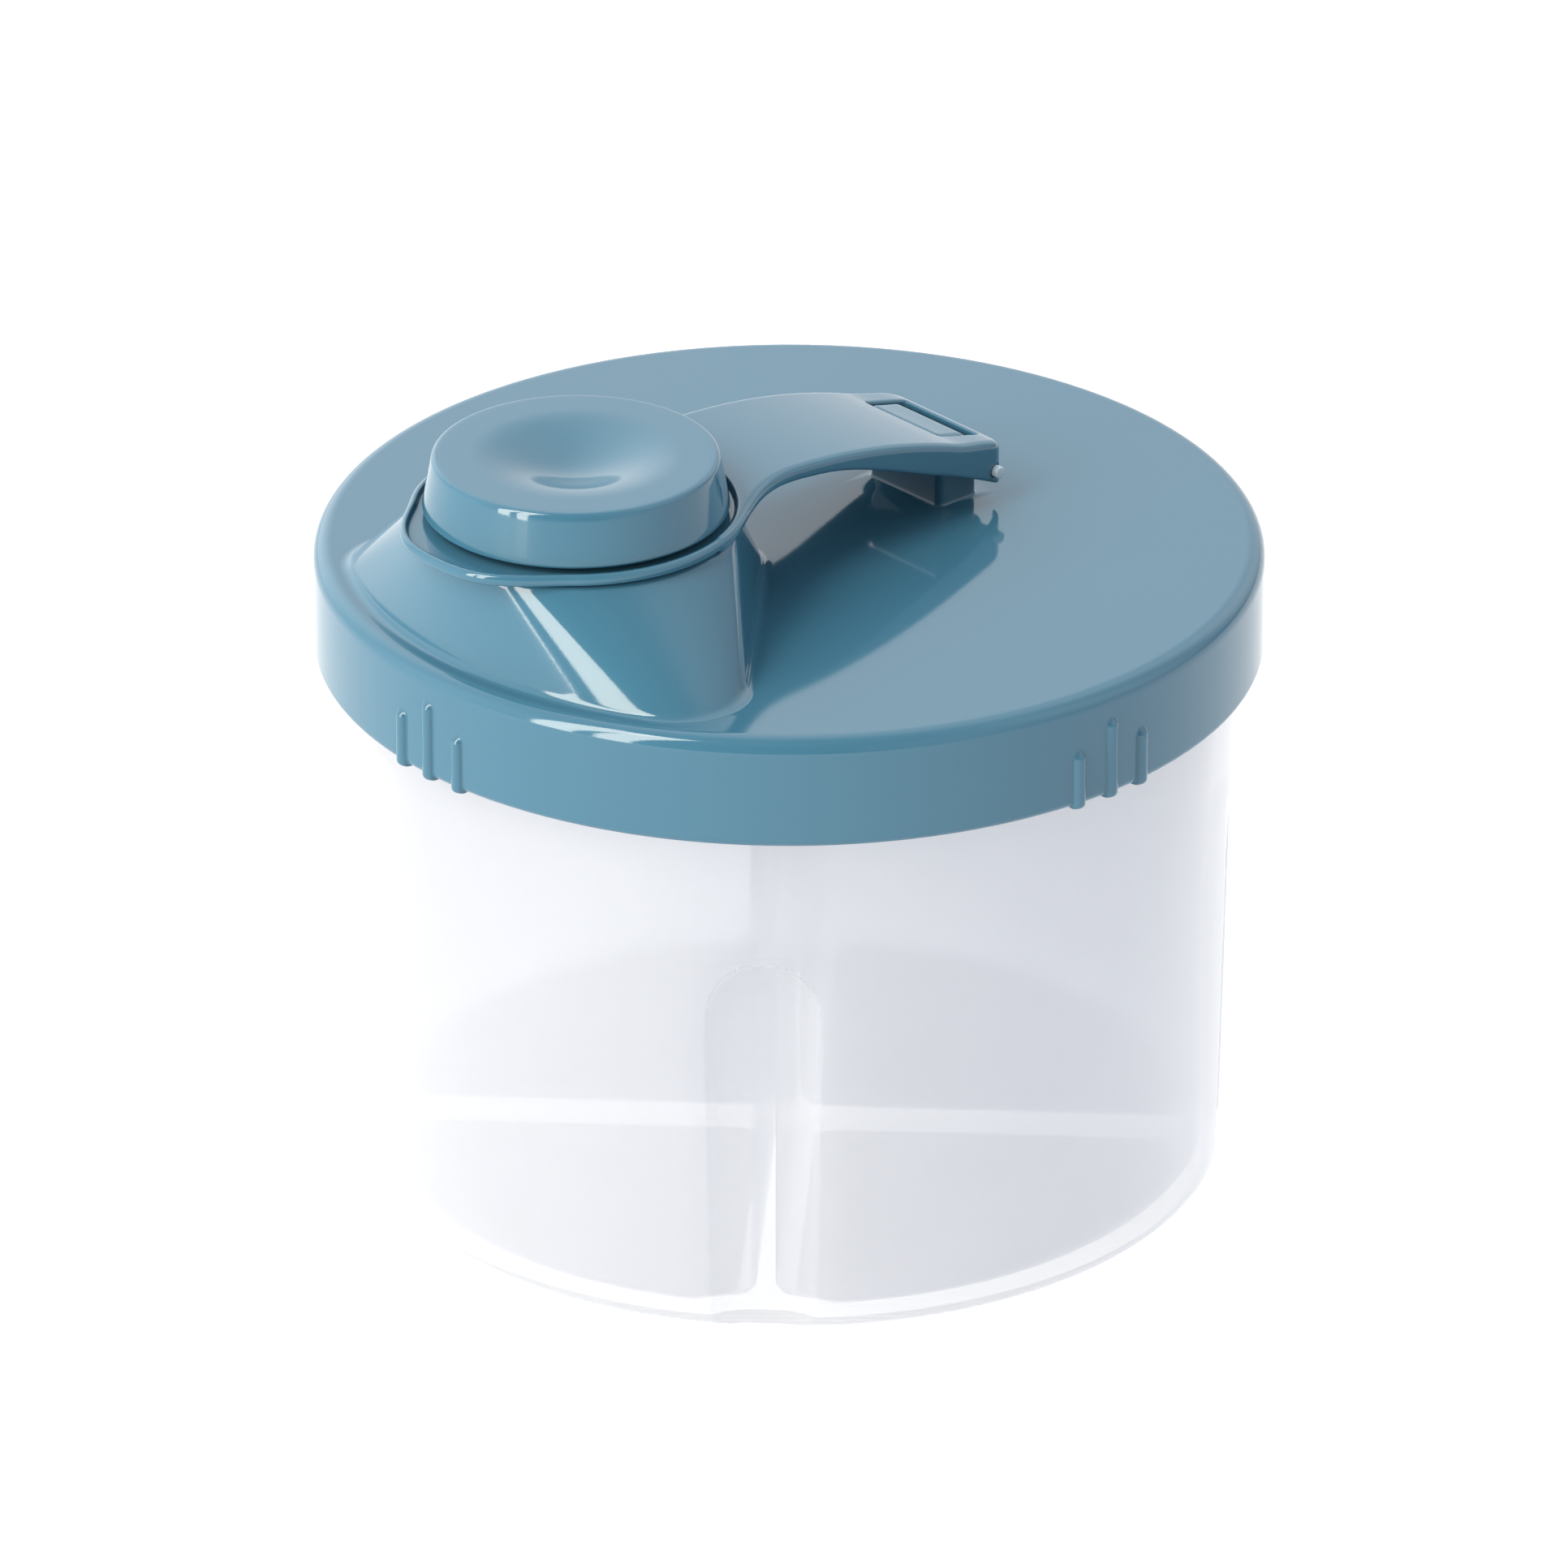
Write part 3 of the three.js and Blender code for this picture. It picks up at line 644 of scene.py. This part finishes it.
def make_ring(name, node, y, bevel=0.3):
    """A soft sealing ring that fills its CAD node's box, with a shallow groove round its outer side."""
    low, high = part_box(node)
    outer = (high.x - low.x) / 2 / MM
    inner = outer - RING_WIDTHS[node]
    z0, z1 = low.z / MM, high.z / MM
    middle = (z0 + z1) / 2
    groove_half, groove_depth = 0.25, 0.15
    start = ((inner + outer) / 2, z0)
    outline = [start, (outer, z0, bevel), (outer, middle - groove_half, 0.05),
               (outer - groove_depth, middle, 0.1), (outer, middle + groove_half, 0.05),
               (outer, z1, bevel), (inner, z1, bevel), (inner, z0, bevel), start]
    return lathe(name, rounded(outline, steps=4)[:-1], y, segments=192, ring=True)


# ---- Materials ----
def new_material(name):
    material = bpy.data.materials.new(name)
    material.use_nodes = True
    nodes = material.node_tree.nodes
    return material, nodes, material.node_tree.links, nodes["Principled BSDF"]


def noise(nodes, links, scale, detail):
    """A noise texture in the object's own coordinates."""
    place = nodes.new("ShaderNodeTexCoord")
    texture = nodes.new("ShaderNodeTexNoise")
    texture.inputs["Scale"].default_value = scale
    texture.inputs["Detail"].default_value = detail
    links.new(place.outputs["Object"], texture.inputs["Vector"])
    return texture.outputs["Fac"]


def ranged(nodes, links, source, low, high):
    """The source, which runs from 0 to 1, spread from low to high."""
    spread = nodes.new("ShaderNodeMapRange")
    spread.inputs["To Min"].default_value = low
    spread.inputs["To Max"].default_value = high
    links.new(source, spread.inputs["Value"])
    return spread.outputs["Result"]


def tinted(nodes, links, source, dark, light):
    """A colour between dark and light by the source."""
    mix = nodes.new("ShaderNodeMix")
    mix.data_type = "RGBA"
    mix.inputs["A"].default_value = (*dark, 1)
    mix.inputs["B"].default_value = (*light, 1)
    links.new(source, mix.inputs["Factor"])
    return mix.outputs["Result"]


def bumped(nodes, links, source, height, beneath=None):
    """A surface normal from the source, whose height is in metres, over another normal if there is one."""
    bump = nodes.new("ShaderNodeBump")
    bump.inputs["Distance"].default_value = height
    links.new(source, bump.inputs["Height"])
    if beneath:
        links.new(beneath, bump.inputs["Normal"])
    return bump.outputs["Normal"]


FLOW_SCALE, GLOSS_SCALE, RIPPLE_SCALE, GRAIN_SCALE = 22, 900, 45, 2600
GLOSSIEST, DULLEST = 0.85, 1.15
PLASTIC_IOR = 1.5


def moulded(name, colour, roughness, spread, ripple, grain):
    """Moulded plastic: a little colour drift from its flow in the mould, gloss that varies over the
    surface, a slow ripple, and a fine grain. The ripple and the grain are heights in metres."""
    material, nodes, links, shader = new_material(name)
    flow = noise(nodes, links, FLOW_SCALE, 2)
    dark = [channel * (1 - spread) for channel in colour]
    light = [min(1, channel * (1 + spread)) for channel in colour]
    links.new(tinted(nodes, links, flow, dark, light), shader.inputs["Base Color"])
    fine = noise(nodes, links, GLOSS_SCALE, 4)
    gloss = ranged(nodes, links, fine, roughness * GLOSSIEST, roughness * DULLEST)
    links.new(gloss, shader.inputs["Roughness"])
    slow = bumped(nodes, links, noise(nodes, links, RIPPLE_SCALE, 1), ripple)
    grained = bumped(nodes, links, noise(nodes, links, GRAIN_SCALE, 2), grain, beneath=slow)
    links.new(grained, shader.inputs["Normal"])
    shader.inputs["IOR"].default_value = PLASTIC_IOR
    return material


BLUE = (0.042, 0.133, 0.205)
PIN_BLUE = (0.42, 0.52, 0.60)
PALE_GREY = (0.74, 0.77, 0.79)
MILKY = (0.785, 0.798, 0.845)
CLEAR = (0.978, 0.982, 0.990)

# The pot's wall: its milkiness seen square on, the squareness below which it gets no milkier, the share
# of its milky light that comes through from behind, and how much it mirrors square on and edge on.
MILKINESS, LEAST_SQUARENESS, FROM_BEHIND = 0.25, 0.27, 0.62
MIRROR_SQUARE, MIRROR_EDGE, MIRROR_POWER = 0.06, 0.9, 5


def through_wall(nodes, links, facing):
    """How milky a wall looks: more where it is seen at a slant, because light goes further through it."""
    def math_node(operation, first, second):
        node = nodes.new("ShaderNodeMath")
        node.operation = operation
        for slot, value in enumerate((first, second)):
            if isinstance(value, float):
                node.inputs[slot].default_value = value
            else:
                links.new(value, node.inputs[slot])
        return node.outputs["Value"]

    squareness = math_node("MAXIMUM", math_node("SUBTRACT", 1.0, facing), LEAST_SQUARENESS)
    passed = math_node("POWER", 1 - MILKINESS, math_node("DIVIDE", 1.0, squareness))
    return math_node("SUBTRACT", 1.0, passed)


def milky_plastic(name):
    """Frosted, see-through plastic: most of its light comes through from behind, under a clear gloss."""
    material = moulded(name, MILKY, roughness=0.34, spread=0.01, ripple=0.00003, grain=0.000003)
    nodes, links = material.node_tree.nodes, material.node_tree.links
    shader, output = nodes["Principled BSDF"], nodes["Material Output"]
    bent = shader.inputs["Normal"].links[0].from_socket

    def blend(factor, first, second):
        mix = nodes.new("ShaderNodeMixShader")
        if isinstance(factor, float):
            mix.inputs["Fac"].default_value = factor
        else:
            links.new(factor, mix.inputs["Fac"])
        links.new(first.outputs[0], mix.inputs[1])
        links.new(second.outputs[0], mix.inputs[2])
        return mix

    glow = nodes.new("ShaderNodeBsdfTranslucent")
    links.new(shader.inputs["Base Color"].links[0].from_socket, glow.inputs["Color"])
    gloss = nodes.new("ShaderNodeBsdfGlossy")
    gloss.inputs["Color"].default_value = (1, 1, 1, 1)
    links.new(shader.inputs["Roughness"].links[0].from_socket, gloss.inputs["Roughness"])
    links.new(bent, gloss.inputs["Normal"])
    weight = nodes.new("ShaderNodeLayerWeight")
    weight.inputs["Blend"].default_value = 0.5
    links.new(bent, weight.inputs["Normal"])
    power = nodes.new("ShaderNodeMath")
    power.operation = "POWER"
    power.inputs[1].default_value = MIRROR_POWER
    links.new(weight.outputs["Facing"], power.inputs[0])
    mirrored = ranged(nodes, links, power.outputs["Value"], MIRROR_SQUARE, MIRROR_EDGE)
    body = blend(FROM_BEHIND, shader, glow)
    clear = nodes.new("ShaderNodeBsdfTransparent")
    clear.inputs["Color"].default_value = (*CLEAR, 1)
    seen = blend(through_wall(nodes, links, weight.outputs["Facing"]), clear, body)
    links.new(blend(mirrored, seen, gloss).outputs["Shader"], output.inputs["Surface"])
    return material


def dress(piece, material, body, slot, *nodes):
    """Gives a piece its material and its body, and hides the CAD nodes that it replaces. slot is not used.
    """
    piece.data.materials.clear()
    piece.data.materials.append(material)
    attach(piece, body)
    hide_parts(*nodes)


def build_object():
    blue = moulded("blue_plastic", BLUE, roughness=0.07, spread=0.03, ripple=0.00002, grain=0.000002)
    milky = milky_plastic("milky_plastic")
    pin = moulded("pin_plastic", PIN_BLUE, roughness=0.2, spread=0.02, ripple=0.00001, grain=0.000002)
    silicone = moulded("silicone", PALE_GREY, roughness=0.5, spread=0.02, ripple=0.00001, grain=0.00001)
    dress(make_pot(), milky, "pot", "container_pp", "container")
    dress(make_ring("rim_ring_seal", "rim_seal", 0), silicone, "rim_ring", "silicone", "rim_seal")
    dress(make_lid(), blue, "lid", "lid_plastic", "lid")
    dress(make_pin(), pin, "lid", "pin_plastic", "hinge_pin")
    dress(make_cap(), blue, "cap", "lid_plastic", "flip_cap")
    dress(make_knob(), blue, "cap", "lid_plastic", "thumb_knob")
    dress(make_ring("spout_ring_seal", "spout_seal", MOUTH_Y), silicone, "cap", "silicone", "spout_seal")


# ---- Stage, camera and light: lengths in metres, angles in degrees ----
FLOOR_GREY, FLOOR_GLOW, FLOOR_ROUGHNESS = 0.35, 0.85, 0.9


def make_floor():
    """A plain pale floor, far wider than the view, with a light of its own."""
    mesh = bpy.data.meshes.new("floor")
    reach = 6.0
    corners = [(-reach, -reach, 0), (reach, -reach, 0), (reach, reach, 0), (-reach, reach, 0)]
    mesh.from_pydata(corners, [], [(0, 1, 2, 3)])
    floor = bpy.data.objects.new("floor", mesh)
    bpy.context.scene.collection.objects.link(floor)
    material, _, _, shader = new_material("pale_floor")
    shader.inputs["Base Color"].default_value = (FLOOR_GREY, FLOOR_GREY, FLOOR_GREY, 1)
    shader.inputs["Emission Color"].default_value = (1, 1, 1, 1)
    shader.inputs["Emission Strength"].default_value = FLOOR_GLOW
    shader.inputs["Roughness"].default_value = FLOOR_ROUGHNESS
    shader.inputs["Specular IOR Level"].default_value = 0.0
    mesh.materials.append(material)


def direction(azimuth, elevation):
    """The unit vector towards an azimuth in degrees, 0 at -Y and 90 at +X, and an elevation."""
    a, e = math.radians(azimuth), math.radians(elevation)
    return Vector((math.sin(a) * math.cos(e), -math.cos(a) * math.cos(e), math.sin(e)))


VIEW_AZIMUTH, VIEW_ELEVATION, VIEW_DISTANCE = 48.3, 25.975, 2.0
VIEW_HEIGHT, VIEW_LEFT, LENS_MM = 0.05008, 0.000667, 356.26


def make_camera():
    """The photo's view, aimed at the pot's axis, a little to its left."""
    data = bpy.data.cameras.new("camera")
    data.sensor_width = 36
    data.lens = LENS_MM
    data.clip_end = 30
    camera = bpy.data.objects.new("camera", data)
    bpy.context.scene.collection.objects.link(camera)
    azimuth = math.radians(VIEW_AZIMUTH)
    right = Vector((math.cos(azimuth), math.sin(azimuth), 0))
    target = Vector((0, 0, VIEW_HEIGHT)) - right * VIEW_LEFT
    camera.location = target + direction(VIEW_AZIMUTH, VIEW_ELEVATION) * VIEW_DISTANCE
    camera.rotation_euler = (math.pi / 2 - math.radians(VIEW_ELEVATION), 0, azimuth)
    bpy.context.scene.camera = camera


WARM = (1.0, 0.955, 0.84)
COOL = (0.97, 0.985, 1.0)
LAMP_AIM = 0.07


def softbox(name, azimuth, elevation, distance, width, height, power):
    """A rectangular light aimed at a point on the object's axis."""
    data = bpy.data.lights.new(name, "AREA")
    data.shape = "RECTANGLE"
    data.size, data.size_y = width, height
    data.energy = power
    data.color = WARM
    lamp = bpy.data.objects.new(name, data)
    bpy.context.scene.collection.objects.link(lamp)
    target = Vector((0, 0, LAMP_AIM))
    lamp.location = target + direction(azimuth, elevation) * distance
    lamp.rotation_euler = (target - lamp.location).to_track_quat("-Z", "Y").to_euler()


# Each glow: azimuth, elevation, the angles from its middle where it is full and gone, and its strength.
DIM = 0.10
GLOWS = [(228, 28, 25, 62, 1.1), (-70, 20, 20, 70, 1.1), (-30, 85, 5, 50, 0.3),
         (158, 38, 15, 50, 0.8), (112, 14, 10, 55, 0.8), (-25, 6, 10, 50, 0.45)]


def make_world():
    """A studio surround: dim, with broad pale glows, of which the strongest are behind and on the left."""
    world = bpy.data.worlds.new("surround")
    bpy.context.scene.world = world
    world.use_nodes = True
    nodes, links = world.node_tree.nodes, world.node_tree.links
    place = nodes.new("ShaderNodeTexCoord")
    total = None
    for azimuth, elevation, inner, outer, strength in GLOWS:
        dot = nodes.new("ShaderNodeVectorMath")
        dot.operation = "DOT_PRODUCT"
        dot.inputs[1].default_value = direction(azimuth, elevation)
        links.new(place.outputs["Generated"], dot.inputs[0])
        spread = nodes.new("ShaderNodeMapRange")
        spread.interpolation_type = "SMOOTHSTEP"
        spread.inputs["From Min"].default_value = math.cos(math.radians(outer))
        spread.inputs["From Max"].default_value = math.cos(math.radians(inner))
        spread.inputs["To Min"].default_value = 0
        spread.inputs["To Max"].default_value = strength
        links.new(dot.outputs["Value"], spread.inputs["Value"])
        add = nodes.new("ShaderNodeMath")
        add.inputs[1].default_value = DIM
        links.new(spread.outputs["Result"], add.inputs[0])
        if total:
            links.new(total, add.inputs[1])
        total = add.outputs["Value"]
    links.new(total, nodes["Background"].inputs["Strength"])
    nodes["Background"].inputs["Color"].default_value = (*COOL, 1)


def make_light():
    """The surround, and a tall window of two panes in front of the object."""
    make_world()
    pane = {"elevation": 30, "distance": 1.5, "height": 1.9}
    softbox("window_left", azimuth=-7, width=0.30, power=21, **pane)
    softbox("window_right", azimuth=8, width=0.26, power=18.5, **pane)


make_camera()
make_floor()
make_light()
bpy.context.scene.view_settings.view_transform = "Standard"
build_object()
